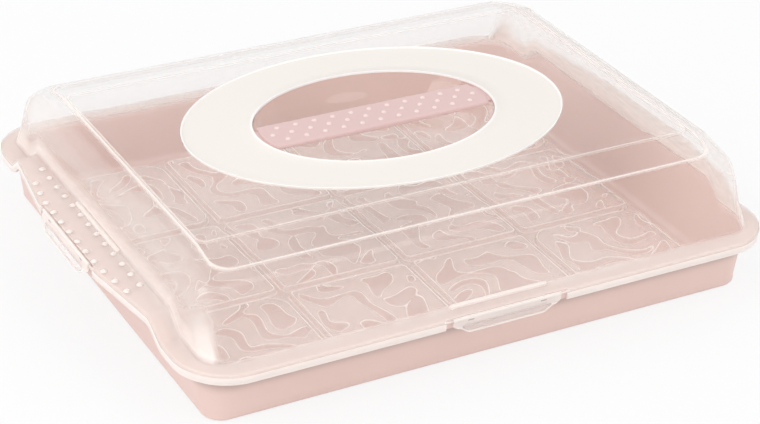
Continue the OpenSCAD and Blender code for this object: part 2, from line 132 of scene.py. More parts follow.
CLIP_L = 79.0
NOTCH = CLIP_L / 2 + 4.8 # half length of the skirt's notch round a clip
NOTCH_EDGE = 0.08        # half width of the notch's steep end
NOTCH_IN = LID_T + SKIRT_GAP + 0.2
BARREL_R = 1.2
HINGE_OFF = LIFT_GAP + BARREL_R + 0.1
HINGE_A = LIP_A + HINGE_OFF + WING_OUT
HINGE_B = LIP_B + HINGE_OFF
HINGE_Z = FLANGE_Z - BARREL_R - 0.3
BUMP_PITCH = 13.9
BUMP_SHIFT = 0.245       # share of a pitch by which the outer row starts late
INNER_ROW = 4.6          # from the dome's foot out to the inner row of grip bumps
OUTER_ROW = 4.0          # from the skirt in to the outer row
GRIP_R = 2.25
GRIP_H = 0.9
LEDGE_L = CLIP_L - 11
LEDGE_W = 3.0
LEDGE_H = 2.0
CLIP_T = 1.3
PIN_R = 0.8
PIN_REACH = NOTCH + 1.8
PLATE_H = 5.7            # length of a clip's plate above its pull tab
TAB_END = PLATE_H + 5.8  # length of the plate and the tab
PLATE_Y = -0.25          # the plate's outer face from the hinge's axis
END_TILT = 19.0          # how far the end clips hang open, in degrees
SLOT_X = CLIP_L * 0.336  # place of a clip's two short slots

BAR_W = 31.0
BAR_A = WELL_A - 3
BAR_B = WELL_B - 3
BAR_T = 1.8
BAR_END_H = 2.6
BAR_MID_H = 3.7
BAR_ROW = BAR_W * 0.27
BAR_BUMPS = 12           # bumps in the middle row
BAR_STEP = 2 * BAR_A * 0.915 / (BAR_BUMPS - 1)
BAR_BUMP_R = 1.95
BAR_BUMP_H = 0.98
TONGUE_T = 1.6

INSERT_A = INSERT_BOX[1][0]
INSERT_B = INSERT_BOX[1][1]
INSERT_Z = INSERT_BOX[0][2]
INSERT_T = 1.2
INSERT_R = 20.0
CELL_TOP = INSERT_BOX[1][2] - 0.6
GROOVE_W = 5.0
CELL_HALF = ((2 * INSERT_A - 5 * GROOVE_W) / 8, (2 * INSERT_B - 4 * GROOVE_W) / 6)
CELL_PITCH = (2 * CELL_HALF[0] + GROOVE_W, 2 * CELL_HALF[1] + GROOVE_W)
INSERT_MILK = 0.32       # haze of the cells' land at the left, and how much less at the right
INSERT_FADE = 0.16
AWAY_CAP = 4.0           # largest distance from an island's outline that is kept


# ---- outlines and surfaces ------------------------------------------------------------------

def quarter_stops():
    """Stops of a quarter outline: distances along the end wall from the X axis, corner angles,
    and distances along the side wall from the Y axis. They crowd where the notches, the wings
    and the corners turn."""
    edge = 0.15
    end = np.concatenate([
        np.linspace(0, NOTCH - 1.2, 16), [NOTCH - 0.5, NOTCH - edge, NOTCH, NOTCH + edge, NOTCH + 0.5],
        np.linspace(NOTCH + 1.5, WING_HALF - 4, 22),
        np.linspace(WING_HALF - 2, WING_HALF + WING_RAMP + 2, 17)])
    corner = np.radians(np.linspace(0, 90, 21))
    far = WALL_A - LIP_R - 8
    side = np.concatenate([
        np.linspace(far, NOTCH + 1.5, 30), [NOTCH + 0.5, NOTCH + edge, NOTCH, NOTCH - edge, NOTCH - 0.5],
        np.linspace(NOTCH - 1.2, 0, 16)])
    return end, corner, side, far


END, CORNER, SIDE, SIDE_FAR = quarter_stops()


def outline(a, b, r):
    """A rounded rectangle of half sizes a and b with corner radius r, counter-clockwise from +X.
    Stops keep their place while the straight wall is long enough and draw in together where not."""
    end = END * min(1.0, (b - r - 0.5) / END[-1])
    side = SIDE * min(1.0, (a - r - 0.5) / SIDE_FAR)
    x = np.concatenate([np.full(len(end), a), a - r + r * np.cos(CORNER), side])
    y = np.concatenate([end, b - r + r * np.sin(CORNER), np.full(len(side), b)])
    quarter = np.stack([x, y], axis=1)
    back = quarter[:0:-1]
    return np.concatenate([quarter[:-1], back * [-1, 1], -quarter[:-1], back * [1, -1]])


def smoothed(y, stops, values):
    """Straight lines through the stops, with each knee rounded by averaging nearby points."""
    offsets = np.linspace(-KNEE, KNEE, 11)
    return np.mean([np.interp(np.abs(y) + d, stops, values) for d in offsets], axis=0)


def smooth_step(t):
    """Nought below 0, one above 1, and a smooth cubic between."""
    t = np.clip(t, 0, 1)
    return t * t * (3 - 2 * t)


def wing_lift(y):
    """How far the end rim is raised at a distance y from the X axis: level, then a ramp down."""
    return WING_RISE * smoothed(y, [0, WING_HALF, WING_HALF + WING_RAMP], [1, 1, 0])


def wing_reach(y):
    """How far the end rim reaches out at y: full at the clip, then narrowing to the ramp."""
    return WING_OUT * smoothed(y, [0, NOTCH + 2, WING_HALF, WING_HALF + WING_RAMP], [1, 1, 0.12, 0])


def lip_drop(y):
    """Extra depth of the tray's lip under an end clip."""
    return LIP_EXTRA * smoothed(y, [0, NOTCH + 8, NOTCH + 36], [1, 1, 0])


def ring_of(xy, z):
    """An outline lifted to a height, or to a height for each of its points."""
    return np.column_stack([xy, np.broadcast_to(z, len(xy))])


def rim_ring(a, b, r, z, cut=0.0, up=0.0, drop=0.0):
    """A rim outline with its wings: moved out by wing_reach, up by wing_lift, and at the clip
    notches drawn in by cut and raised by up."""
    xy = outline(a, b, r)
    x, y = xy[:, 0], xy[:, 1]
    at_end = np.abs(y) < WING_END
    along = np.minimum(np.abs(x), np.abs(y))
    drawn = cut * (along < NOTCH - NOTCH_EDGE)
    x = x + np.where(at_end, np.sign(x) * (wing_reach(y) - drawn), 0)
    y = y - np.where(at_end, 0, np.sign(y) * drawn)
    raised = up * (along < NOTCH + NOTCH_EDGE)
    level = z + wing_lift(xy[:, 1]) + raised - np.where(at_end, drop * lip_drop(xy[:, 1]), 0)
    return np.column_stack([x, y, level])


def spline(rows, count):
    """A Catmull-Rom curve through rows of numbers, evaluated at count even steps."""
    rows = np.asarray(rows, float)
    padded = np.vstack([2 * rows[0] - rows[1], rows, 2 * rows[-1] - rows[-2]])
    t = np.linspace(0, len(rows) - 1, count)
    i = np.minimum(t.astype(int), len(rows) - 2)
    f = (t - i)[:, None]
    p0, p1, p2, p3 = (padded[i + k] for k in range(4))
    return 0.5 * (2 * p1 + (p2 - p0) * f + (2 * p0 - 5 * p1 + 4 * p2 - p3) * f**2
                  + (3 * p1 - p0 - 3 * p2 + p3) * f**3)


def mesh_object(name, points, quads, triangles, material, smooth_angle=35.0):
    """A mesh object at the origin from points in millimetres and whole arrays of faces."""
    mesh = bpy.data.meshes.new(name)
    mesh.vertices.add(len(points))
    mesh.vertices.foreach_set("co", (np.asarray(points, float) * MM).ravel())
    corners = np.concatenate([np.asarray(quads, int).ravel(), np.asarray(triangles, int).ravel()])
    starts = np.concatenate([np.arange(len(quads)) * 4, len(quads) * 4 + np.arange(len(triangles)) * 3])
    mesh.loops.add(len(corners))
    mesh.loops.foreach_set("vertex_index", corners)
    mesh.polygons.add(len(starts))
    mesh.polygons.foreach_set("loop_start", starts)
    mesh.update(calc_edges=True)
    mesh.validate()
    mesh.shade_smooth()
    mesh.set_sharp_from_angle(angle=math.radians(smooth_angle))
    piece = bpy.data.objects.new(name, mesh)
    piece.data.materials.append(material)
    bpy.context.scene.collection.objects.link(piece)
    return piece


def grid_quads(rows, columns, closed_rows=False, closed_columns=True):
    """Quads of a grid of points, wrapping round where a direction is closed. The side on which
    rows run upwards while columns run counter-clockwise faces out."""
    i = np.arange(rows if closed_rows else rows - 1)[:, None]
    j = np.arange(columns if closed_columns else columns - 1)[None, :]
    i2, j2 = (i + 1) % rows, (j + 1) % columns
    corners = (i * columns + j, i * columns + j2, i2 * columns + j2, i2 * columns + j)
    return np.stack(corners, axis=-1).reshape(-1, 4)


def loft(rings, poles=None):
    """A closed skin through rings, from a pole below the first to a pole above the last: points,
    quads and triangles."""
    rings = np.asarray(rings)
    m, n = rings.shape[:2]
    if poles is None:
        poles = [rings[0].mean(axis=0), rings[-1].mean(axis=0)]
    j = np.arange(n)
    j2 = (j + 1) % n
    low = np.column_stack([np.full(n, m * n), j2, j])
    high = np.column_stack([np.full(n, m * n + 1), (m - 1) * n + j, (m - 1) * n + j2])
    return np.vstack([rings.reshape(-1, 3), poles]), grid_quads(m, n), np.vstack([low, high])


def hoop(rings):
    """A closed skin through rings, the last joined to the first."""
    rings = np.asarray(rings)
    return rings.reshape(-1, 3), grid_quads(*rings.shape[:2], closed_rows=True), np.zeros((0, 3), int)


def slab(top, under):
    """A closed slab: an upper and an under grid of points, rows towards +Y and columns towards
    +X, with their edges joined."""
    m, n = top.shape[:2]
    upper = grid_quads(m, n, closed_columns=False)
    edge = np.concatenate([np.arange(n - 1), n - 1 + n * np.arange(m - 1), m * n - 1 - np.arange(n - 1),
                           n * (m - 1) - n * np.arange(m - 1)])
    after = np.roll(edge, -1)
    side = np.column_stack([edge, edge + m * n, after + m * n, after])
    points = np.concatenate([top.reshape(-1, 3), under.reshape(-1, 3)])
    return points, np.concatenate([upper, upper[:, ::-1] + m * n, side]), np.zeros((0, 3), int)


def merged(*parts):
    """Several skins as one."""
    points = np.concatenate([part[0] for part in parts])
    start = np.cumsum([0] + [len(part[0]) for part in parts[:-1]])
    quads = np.concatenate([np.reshape(part[1], (-1, 4)) + at for part, at in zip(parts, start)])
    triangles = np.concatenate([np.reshape(part[2], (-1, 3)) + at for part, at in zip(parts, start)])
    return points, quads, triangles


def turned(points, degrees, origin):
    """Points turned about the vertical and then moved to an origin."""
    c, k = math.cos(math.radians(degrees)), math.sin(math.radians(degrees))
    return points @ np.array([[c, k, 0], [-k, c, 0], [0, 0, 1]]) + origin


def swung(points, degrees):
    """Points swung outwards about the X axis."""
    c, k = math.cos(math.radians(degrees)), math.sin(math.radians(degrees))
    return points @ np.array([[1, 0, 0], [0, c, -k], [0, k, c]])


# ---- tray -----------------------------------------------------------------------------------

def wall_half(z):
    """Half sizes of the wall's outer face at a height z, which grow with the draft."""
    lean = z * math.tan(DRAFT)
    return WALL_A + lean, WALL_B + lean


def wall_level(inward, z, r):
    """The wall's level outline at a height z, drawn in by inward."""
    a, b = wall_half(z)
    return ring_of(outline(a - inward, b - inward, r), z)


def wall_top(inward, z, r, share=1.0):
    """The wall's outline near the rim, which follows the raised wings by the given share."""
    a, b = wall_half(z)
    xy = outline(a - inward, b - inward, r)
    lift = share * wing_lift(xy[:, 1])
    at_end = np.abs(xy[:, 1]) < WING_END
    xy[:, 0] += np.where(at_end, np.sign(xy[:, 0]) * lift * math.tan(DRAFT), 0)
    return ring_of(xy, z + lift)


def lip_ring(inward, z, drop=0.0):
    """The lip's outline, drawn in by inward, at a height z."""
    return rim_ring(LIP_A - inward, LIP_B - inward, LIP_R - inward, z, drop=drop)


def tray_rings():
    """The tray's section from the middle of its underside, round the floor's rounding, up the
    drafted wall, round the rim and its lip, and down the inside to the middle of the floor. Also
    how far each ring lies in the shade that is painted on the wall under the lip."""
    q = np.radians(np.linspace(0, 90, 7))
    rings = [wall_level(inward, 0, BASE_R - 6) for inward in (60, 20)]
    for a in q:
        inward, up = FLOOR_R * (1 - math.sin(a)), FLOOR_R * (1 - math.cos(a))
        rings.append(wall_level(inward, up, BASE_R - 2 * math.cos(a)))
    under = RIM_Z - TRAY_T
    wall = np.linspace(7, under - 2.5, 16)
    dark = smooth_step((wall - SHADE_START) / SHADE_RUN) ** 1.5
    shade = np.concatenate([np.zeros(len(rings)), dark, [1, 1]])
    rings += [wall_top(0, z, BASE_R + (WALL_R - BASE_R) * z / under, (z / under) ** 3) for z in wall]
    rings += [wall_top(0, under - 0.8, WALL_R), wall_top(-0.8, under, WALL_R)]
    rings += [lip_ring(TRAY_T + 0.8, under), lip_ring(TRAY_T, under - 0.8)]
    for inward, up in ((TRAY_T, 0.5), (TRAY_T - 0.6, 0), (0.5, 0), (0, 0.5)):
        rings.append(lip_ring(inward, RIM_Z - LIP_H + up, drop=1))
    for a in np.radians(np.linspace(0, 90, 5)):
        rings.append(lip_ring(EDGE_R * (1 - math.cos(a)), RIM_Z - EDGE_R * (1 - math.sin(a))))
    for a in np.radians(np.linspace(90, 0, 5)):
        inward, down = TRAY_T - RIM_R * math.sin(a), RIM_R * (1 - math.sin(a))
        rings.append(wall_top(inward, RIM_Z - down, WALL_R - 0.5))
    for z in np.linspace(under - 2.5, FLOOR_T + FLOOR_R + 3, 7):
        corner = BASE_R - TRAY_T + (WALL_R + 1 - BASE_R) * z / under
        rings.append(wall_top(TRAY_T, z, corner, ((z - FLOOR_T) / under) ** 3))
    for a in q[::-1]:
        inward, up = TRAY_T + FLOOR_R * (1 - math.sin(a)), FLOOR_T + FLOOR_R * (1 - math.cos(a))
        rings.append(wall_level(inward, up, BASE_R - TRAY_T - 2 * math.cos(a)))
    rings += [wall_level(inward, FLOOR_T, BASE_R - 8) for inward in (20, 60)]
    return rings, np.pad(shade, (0, len(rings) - len(shade)))


# ---- lid ------------------------------------------------------------------------------------

# Section of the dome from the crease down: share of the end inset, share of the side inset,
# share of the height, fixed drop, plan radius, and how the thickness turns over (inwards, down)
DOME = ((0, 0, 0, 0, CREASE_R, 0.3, 1), (0.45, 0.18, 0, 1.8, CREASE_R + 0.5, 0.5, 0.9),
        (0.73, 0.34, 0, 6, CREASE_R + 1, 0.8, 0.65), (0.88, 0.46, 0, 13, CREASE_R + 2, 1, 0.3),
        (0.96, 0.73, 0.6, 5, CREASE_R + 2.5, 1, 0.15))
# Section of the well: share of its half axes, share of its depth, thickness turn
WELL = ((1, 0, 0.2, 1), (0.97, 0.22, 1, 0.2), (0.9, 0.6, 0.9, 0.4), (0.8, 0.86, 0.6, 0.8),
        (0.66, 0.98, 0.15, 1), (0.3, 1, 0, 1))
DOME_ROWS = 22
BAND_MILK = 0.75
PAINTED_CORNER_REFLECTION = 0.7
VEIL_MILK = 0.11


def panel_z(y):
    """Height of the top panel: level to the folds, then the sloping strips."""
    return TOP_Z - BEVEL_DROP * np.clip((np.abs(y) - FOLD_B) / BEVEL_W, 0, 1)


def wall_ring(a, b, r, t, drop):
    """A dome outline whose height runs from the crease (t = 0) to the foot (t = 1), less a drop."""
    xy = outline(a, b, r)
    high = panel_z(np.minimum(np.abs(xy[:, 1]), CREASE_B))
    low = FLANGE_Z + wing_lift(xy[:, 1])
    return ring_of(xy, high + (low - high) * t - drop)


def oval_ring(a, b, z):
    """An ellipse with its points on the bearings of the panel's outline."""
    xy = outline(FOLD_A, FOLD_B, FOLD_R)
    q = np.arctan2(xy[:, 1] / FOLD_B, xy[:, 0] / FOLD_A)
    return ring_of(np.column_stack([a * np.cos(q), b * np.sin(q)]), z)


def dome_rings(t):
    """Rings of the dome's skin from the crease to the flange, t inside the outer face."""
    rings = []
    for k, (e, s, h, d, r, n, v) in enumerate(spline(DOME, DOME_ROWS)):
        a, b = CREASE_A + e * DOME_IN_A - t * n, CREASE_B + s * DOME_IN_B - t * n
        # The first term makes the crease row milky white: a painted highlight along the crease. The second
        # adds a little milk towards the foot.
        milk = 0.95 * math.exp(-(k / 0.8) ** 2) + 0.05 * (k / DOME_ROWS) ** 3
        rings.append((wall_ring(a, b, r - t * n, h, d + t * v), milk))
    for gap, up, milk in ((0.5, FOOT_H, 0.06), (0.1, 1.5, 0.1), (-0.7, 0.5, 0.25), (-2.0, 0.0, 0.34)):
        share = up / FOOT_H
        xy = outline(FOOT_A - gap - t * share, FOOT_B - gap - t * share, FOOT_R - t * share)
        rings.append((ring_of(xy, FLANGE_Z + wing_lift(xy[:, 1]) + up - t * (1 - share)), milk))
    return rings


def panel_rings(t):
    """Rings of the panel from the matt ring's edge out to the crease, with fine beads along the
    folds and creases on the outer face."""
    rings = []
    bead = BEAD_H if t == 0 else 0.0
    ring = oval_ring(RING_A + 0.5, RING_B + 0.5, TOP_Z - t)
    fold = wall_ring(FOLD_A, FOLD_B, FOLD_R, 0, t)
    for share in (0.0, 0.25, 0.5, 0.75):
        rings.append((ring + (fold - ring) * share, 0.0))
    for gap, up in ((-1, 0.0), (-0.5, 0.7), (0, 1.0), (0.5, 0.7), (1, 0.0)):
        out = gap * BEAD_W
        # The bead's milk is a painted highlight along the fold.
        rings.append((wall_ring(FOLD_A + out, FOLD_B + out, FOLD_R, 0, t - bead * up), 0.7 * up))
    for share in (0.33, 0.66):
        a = FOLD_A + BEAD_W + (CREASE_A - FOLD_A - 2 * BEAD_W) * share
        b = FOLD_B + BEAD_W + (CREASE_B - FOLD_B - 2 * BEAD_W) * share
        rings.append((wall_ring(a, b, FOLD_R + (CREASE_R - FOLD_R) * share, 0, t), 0.0))
    for gap, up in ((-1, 0.0), (-0.5, 0.75)):
        out = gap * BEAD_W
        # The bead's milk is a painted highlight along the crease.
        rings.append((wall_ring(CREASE_A + out, CREASE_B + out, CREASE_R, 0, t - bead * up), 0.95 * up))
    return rings


def skirt_ring(inward, z, cut=NOTCH_IN, up=0.0):
    """The skirt's outline with its notches, drawn in by inward, at a height z."""
    return rim_ring(SKIRT_A - inward, SKIRT_B - inward, SKIRT_R - inward, z, cut, up)


def skirt_rings():
    """Rings from the flange's edge down the skirt, round its foot and back up under the flange."""
    z, low, up = FLANGE_Z, FLANGE_Z - SKIRT_H, SKIRT_H - LID_T
    rings = [(skirt_ring(2.2, z), 0.34)]
    for a, milk in zip(np.radians(np.linspace(90, 0, 5)), (0.36, 0.38, 0.4, 0.42, 0.42)):
        rings.append((skirt_ring(EDGE_R * (1 - math.cos(a)), z - EDGE_R * (1 - math.sin(a))), milk))
    # The skirt's lower part is milkier than its upper part. Its rows at the top and at the foot are
    # milkiest: painted highlight lines along those edges.
    for high, milk in ((SKIRT_BRIGHT + 0.6, 0.42), (SKIRT_BRIGHT, 0.9), (1.6, 0.75), (0.5, 0.9)):
        rings.append((skirt_ring(0, low + high, up=up - high), milk))
    for inward, cut, milk in ((0.4, NOTCH_IN, 0.85), (LID_T, NOTCH_IN - 0.6, 0.6)):
        rings.append((skirt_ring(inward, low, cut, up), milk))
    rings.append((skirt_ring(LID_T, z - LID_T), 0.1))
    return rings


def lid_rings():
    """The clear dome as a hoop: from the matt ring's edge out over the panel, down the dome, along
    the flange and round the skirt, and back along the inner face. Each ring has its milky share."""
    outer = panel_rings(0.0) + dome_rings(0.0) + skirt_rings()
    inner = [(ring, 0.5 * milk) for ring, milk in dome_rings(LID_T)[::-1] + panel_rings(LID_T)[::-1]]
    return (outer + inner)[::-1]


def haze(points):
    """Extra milk on the dome: a band along the foot of each end wall, a patch that reaches up each
    corner, which is a painted reflection, and a faint veil on the end walls."""
    x, y, z = np.abs(points[:, 0]), np.abs(points[:, 1]), points[:, 2] - FLANGE_Z
    over = z - wing_lift(points[:, 1])
    wall = smooth_step((x - FOOT_A + 9) / 4) * smooth_step((FOOT_A + 1.5 - x) / 1.0)
    band = BAND_MILK * wall * smooth_step((14 - over) / 12) * smooth_step((over - 0.5) / 2)
    near = smooth_step((x - FOOT_A + 11) / 7) * smooth_step((y - FOOT_B + 30) / 18)
    # The corner patch is a painted reflection.
    patch = PAINTED_CORNER_REFLECTION * near * smooth_step((34 - z) / 30) * smooth_step((z - 0.5) / 6)
    return band + patch + VEIL_MILK * smooth_step((x - CREASE_A - 4) / 8) * smooth_step(over / 4)


def ring_section():
    """The matt ring as a hoop: a fine bead at its outer edge, a flat recessed face, a rolled edge
    into the well, and the underside. Also which rings lie on the two edges."""
    rows = [(0.45, 0.0), (0.35, 0.2), (0.0, BEAD_H), (-0.5, 0.15), (-0.9, -0.6), (-1.4, -RING_RECESS)]
    rings = [oval_ring(RING_A + d, RING_B + d, TOP_Z + up) for d, up in rows]
    for share in (0.25, 0.5, 0.75):
        a = RING_A + (WELL_A - RING_A) * share
        b = RING_B + (WELL_B - RING_B) * share
        rings.append(oval_ring(a, b, RING_Z))
    rows = [(1.6, 0.0), (1.1, 0.3), (0.6, 0.45), (0.1, 0.3), (-0.1, -0.3), (-0.1, -1.2), (0.6, -LID_T)]
    rings += [oval_ring(WELL_A + d, WELL_B + d, RING_Z + up) for d, up in rows]
    for d, z in ((-1.4, RING_Z), (0.45, TOP_Z)):
        rings.append(oval_ring(RING_A + d, RING_B + d, z - LID_T))
    edge = np.zeros(len(rings), int)
    edge[:5] = 1
    edge[9:15] = 1
    return rings[::-1], edge[::-1]


def well_rings():
    """The clear bowl of the well: its upper face from the middle out, and its underside back."""
    rows = spline(WELL, 26)
    upper, under = ([oval_ring(WELL_A * s + t * n - WELL_SHY, WELL_B * s + t * n - WELL_SHY,
                               RING_Z - WELL_LIP - (WELL_DEPTH - WELL_LIP) * d - t * v)
                     for s, d, n, v in rows] for t in (0.0, LID_T))
    return (upper[::-1] + under)[::-1]


# ---- domes, bumps and bars ------------------------------------------------------------------

def dome_patch(x, y, z, across, along, high, rings=5, sides=14):
    """Low domes at many places at once: height = high * (1 - share cubed) over an oval of half
    sizes across and along, sunk a little below its seat and closed underneath."""
    sink = -0.4
    share = np.linspace(0, 1, rings)
    q = np.linspace(0, 2 * np.pi, sides, endpoint=False)
    dx = np.outer(share[1:], np.cos(q)) * across
    dy = np.outer(share[1:], np.sin(q)) * along
    dz = np.outer(high * (1 - share[1:] ** 3), np.ones(sides))
    skirt = np.stack([dx[-1], dy[-1], np.full(sides, sink)], axis=1)
    one = np.vstack([[[0, 0, high]], np.stack([dx, dy, dz], axis=-1).reshape(-1, 3), skirt, [[0, 0, sink]]])
    n = len(one)
    j = np.arange(sides)
    j2 = (j + 1) % sides
    cap = np.column_stack([np.zeros(sides, int), 1 + j, 1 + j2])
    i = np.arange(rings - 1)[:, None]
    here, below = 1 + i * sides, 1 + (i + 1) * sides
    quads = np.stack([here + j, below + j, below + j2, here + j2], axis=-1).reshape(-1, 4)
    last = 1 + (rings - 1) * sides
    base = np.column_stack([np.full(sides, n - 1), last + j2, last + j])
    at = np.column_stack([x, y, z])
    points = (at[:, None, :] + one[None]).reshape(-1, 3)
    step = (np.arange(len(at)) * n)[:, None, None]
    ends = np.vstack([cap, base])
    return points, (quads[None] + step).reshape(-1, 4), (ends[None] + step).reshape(-1, 3)


def ledge(length, width, high):
    """A low bar with round ends and a rolled top edge, its back face on the X axis, sunk 0.7 mm."""
    q = np.radians(np.linspace(-90, 90, 9))
    right = np.column_stack([length / 2 + width / 2 * np.cos(q), width / 2 * np.sin(q)])
    plan = np.concatenate([right, -right])
    rings = []
    for inward, z in ((0, -0.7), (0, high - 0.6), (0.15, high - 0.25), (0.5, high - 0.02), (0.7, high)):
        xy = plan * (1 - inward / (width / 2) * np.array([width / (length + width), 1]))
        rings.append(ring_of(xy - [0, width / 2], z))
    return loft(rings)


# ---- handle ---------------------------------------------------------------------------------

def bar_plan(inward):
    """Outline of the bar: straight long edges, and ends on the ellipse inside the well's edge."""
    h = BAR_W / 2 - inward
    q0 = math.asin(min(1.0, h / BAR_B))
    q = np.linspace(-q0, q0, 13)
    across = (BAR_B - inward) * np.sin(q) * h / ((BAR_B - inward) * math.sin(q0))
    right = np.column_stack([(BAR_A - inward) * np.cos(q), across])
    edge = np.linspace(right[-1][0], -right[-1][0], 41)[1:-1]
    top = np.column_stack([edge, np.full(len(edge), h)])
    return np.concatenate([right, top, -right, -top])


def bar_skin():
    """The bar as rings from the middle of its hollow, out and down to its lower edge, up its side,
    over a rolled edge and in across the level top. The lower edge sags as a parabola."""
    def low(xy):
        return -BAR_END_H - (BAR_MID_H - BAR_END_H) * (1 - np.clip(np.abs(xy[:, 0]) / BAR_A, 0, 1) ** 2)
    rings = []
    for inward, z in ((9, -BAR_T), (5, -BAR_T), (BAR_T + 0.8, -BAR_T), (BAR_T, -BAR_T - 0.7)):
        rings.append(ring_of(bar_plan(inward), z))
    for inward, up in ((BAR_T, 0.3), (BAR_T - 0.4, 0), (0.5, 0), (0, 0.5)):
        xy = bar_plan(inward)
        rings.append(ring_of(xy, low(xy) + up))
    for a in np.radians(np.linspace(0, 90, 6)):
        rings.append(ring_of(bar_plan(1.7 * (1 - math.cos(a))), -1.7 * (1 - math.sin(a))))
    rings += [ring_of(bar_plan(inward), 0) for inward in (2.2, 3.4, 6, 10)]
    points, quads, triangles = loft(rings)
    return points + [0, 0, RING_Z], quads, triangles


def block(low, high, edge=0.2):
    """A box between two corners with its edges eased."""
    low, high = np.array(low, float), np.array(high, float)
    middle, half = (low + high) / 2, (high - low) / 2
    plan = np.array([[1, -1], [1, 1], [-1, 1], [-1, -1]], float)
    rings = []
    for z, inward in ((-1, edge), (-1, 0), (1, 0), (1, edge)):
        up = half[2] - (edge if inward == 0 else 0)
        rings.append(ring_of(middle[:2] + plan * (half[:2] - inward), middle[2] + z * up))
    return loft(rings)


def bar_bumps():
    """Three rows of bumps on the bar, the outer two with one bump less and half a step aside."""
    rows = [((np.arange(BAR_BUMPS - abs(r)) - (BAR_BUMPS - 1 - abs(r)) / 2) * BAR_STEP, r * BAR_ROW)
            for r in (-1, 0, 1)]
    x = np.concatenate([row for row, y in rows])
    y = np.concatenate([np.full(len(row), y) for row, y in rows])
    return dome_patch(x, y, np.full(len(x), RING_Z), BAR_BUMP_R, BAR_BUMP_R, BAR_BUMP_H, rings=7, sides=20)


# ---- clips ----------------------------------------------------------------------------------

def clip_depth(x):
    """How far the clip reaches down from its hinge, measured along its face, at x along it."""
    return np.interp(np.abs(x), [0, 26.2, 27.4, 28.2, 29, 34, 35.5, 37.4, 38.6, 39.3, 39.5],
                     TAB_END - np.array([0, 0, 0.15, 0.45, 1.0, 4.3, 4.7, 5.3, 6.1, 7.0, 7.6]))


def clip_section(x):
    """A closed section at x: down the outer face, round the lower edge, up the inner face and over
    the hinge barrel. The outer face sinks in a window on the tab and in two short slots, and swells
    in a bead along the tab's edge; the tab's end tucks in a little. Also the milky share."""
    depth = float(clip_depth(x))
    plate = [1.0, 1.3, 1.6, 1.8, 2.4, 2.6, 2.8, 3.6, 4.4, 5.0, 5.4, 5.7, 5.9, 6.1, 6.4, 7.0, 7.7]
    run = np.concatenate([plate, np.linspace(8.2, TAB_END, 11)]) * min(1.0, depth / TAB_END)
    left = depth - run
    on_tab = smooth_step((run - PLATE_H + 0.2) / 0.5) * smooth_step((33.0 - abs(x)) / 1.0)
    window = on_tab * smooth_step((left - 1.0) / 0.5)
    bead = smooth_step((1.1 - left) / 0.5) * smooth_step((37.0 - abs(x)) / 1.0)
    slot = smooth_step((2.3 - abs(abs(x) - SLOT_X)) / 0.2) * ((run > 1.7) & (run < 2.5))
    out = 0.45 * bead - 0.55 * window - 0.5 * slot
    out = np.where(left < 0.25, out - 0.3, out)
    tuck = 0.5 * smooth_step((run - PLATE_H) / 4.0)
    outer = np.column_stack([PLATE_Y + tuck - out, -run])
    inner = np.column_stack([np.full(len(run), PLATE_Y + CLIP_T), -run])[::-1]
    q = np.radians(np.linspace(-30, 215, 15))
    barrel = BARREL_R * np.column_stack([np.cos(q), np.sin(q)])
    loop = np.concatenate([outer, inner, barrel])
    milk = 0.75 - 0.5 * window + 0.25 * bead - 0.6 * slot
    return np.column_stack([np.full(len(loop), x), loop]), np.concatenate([
        milk, np.full(len(run), 0.3), np.full(15, 0.85)])


def pin(x0, x1):
    """A hinge pin along the X axis with an eased tip."""
    q = np.linspace(0, 2 * np.pi, 17)[:-1]
    rings = [np.column_stack([np.full(16, x), r * np.cos(q), r * np.sin(q)])
             for x, r in ((x0, PIN_R - 0.15), (x0 + 0.15, PIN_R), (x1 - 0.15, PIN_R), (x1, PIN_R - 0.15))]
    return loft(rings)


def clip_parts():
    """The clip in its hinge's frame, and its milky share at each point."""
    slot = SLOT_X + np.array([-2.4, -2.3, -2.1, -1.5, 0, 1.5, 2.1, 2.3, 2.4])
    end = [29.3, 30, 31, 31.6, 32, 32.4, 32.8, 33.2, 34, 34.8, 35.5, 36, 36.4, 37, 37.6, 38.2, 38.6, 39.0,
           39.3, 39.5]
    x = np.concatenate([np.linspace(0, 23.5, 13), slot, end])
    x = np.concatenate([-x[:0:-1], x])
    sections = [clip_section(at) for at in x]
    poles = [[-CLIP_L / 2, -0.5, -1.0], [CLIP_L / 2, -0.5, -1.0]]
    body = loft([points for points, milk in sections], poles)
    milk = np.concatenate([milk for points, milk in sections] + [[0.7, 0.7]])
    catch_z = RIM_Z - LIP_H - HINGE_Z + 0.6
    catch = block([-31, CLIP_T - BARREL_R - 0.3, catch_z], [31, HINGE_OFF - LIFT_GAP, catch_z + CLIP_T])
    pins = [pin(-PIN_REACH, -CLIP_L / 2 + 1), pin(CLIP_L / 2 - 1, PIN_REACH)]
    whole = merged(body, catch, *pins)
    return whole, np.concatenate([milk, np.full(len(whole[0]) - len(milk), 0.5)])


# Side, turn about the vertical in degrees, and place of the hinge's axis
CLIP_PLACES = (("front", 0, (0, -HINGE_B, HINGE_Z)), ("back", 180, (0, HINGE_B, HINGE_Z)),
               ("left", -90, (-HINGE_A, 0, HINGE_Z + WING_RISE)),
               ("right", 90, (HINGE_A, 0, HINGE_Z + WING_RISE)))


# ---- insert ---------------------------------------------------------------------------------

def waves(seed, count, length):
    """Seeded plane waves about one length: rows of wave numbers along x and y, and a phase."""
    rng = np.random.default_rng(seed)
    turn = rng.uniform(0, 2 * np.pi, count)
    number = 2 * np.pi / rng.uniform(0.75 * length, 1.25 * length, count)
    return np.column_stack([number * np.cos(turn), number * np.sin(turn), rng.uniform(0, 2 * np.pi, count)])


def ripple(x, y, rows):
    """Sum of the waves, scaled to unit spread."""
    return sum(np.sin(kx * x + ky * y + phase) for kx, ky, phase in rows) * math.sqrt(2 / len(rows))


SQUIGGLE = waves(11, 12, 23.0)
WARP_X = waves(5, 6, 46.0)
WARP_Y = waves(8, 6, 46.0)


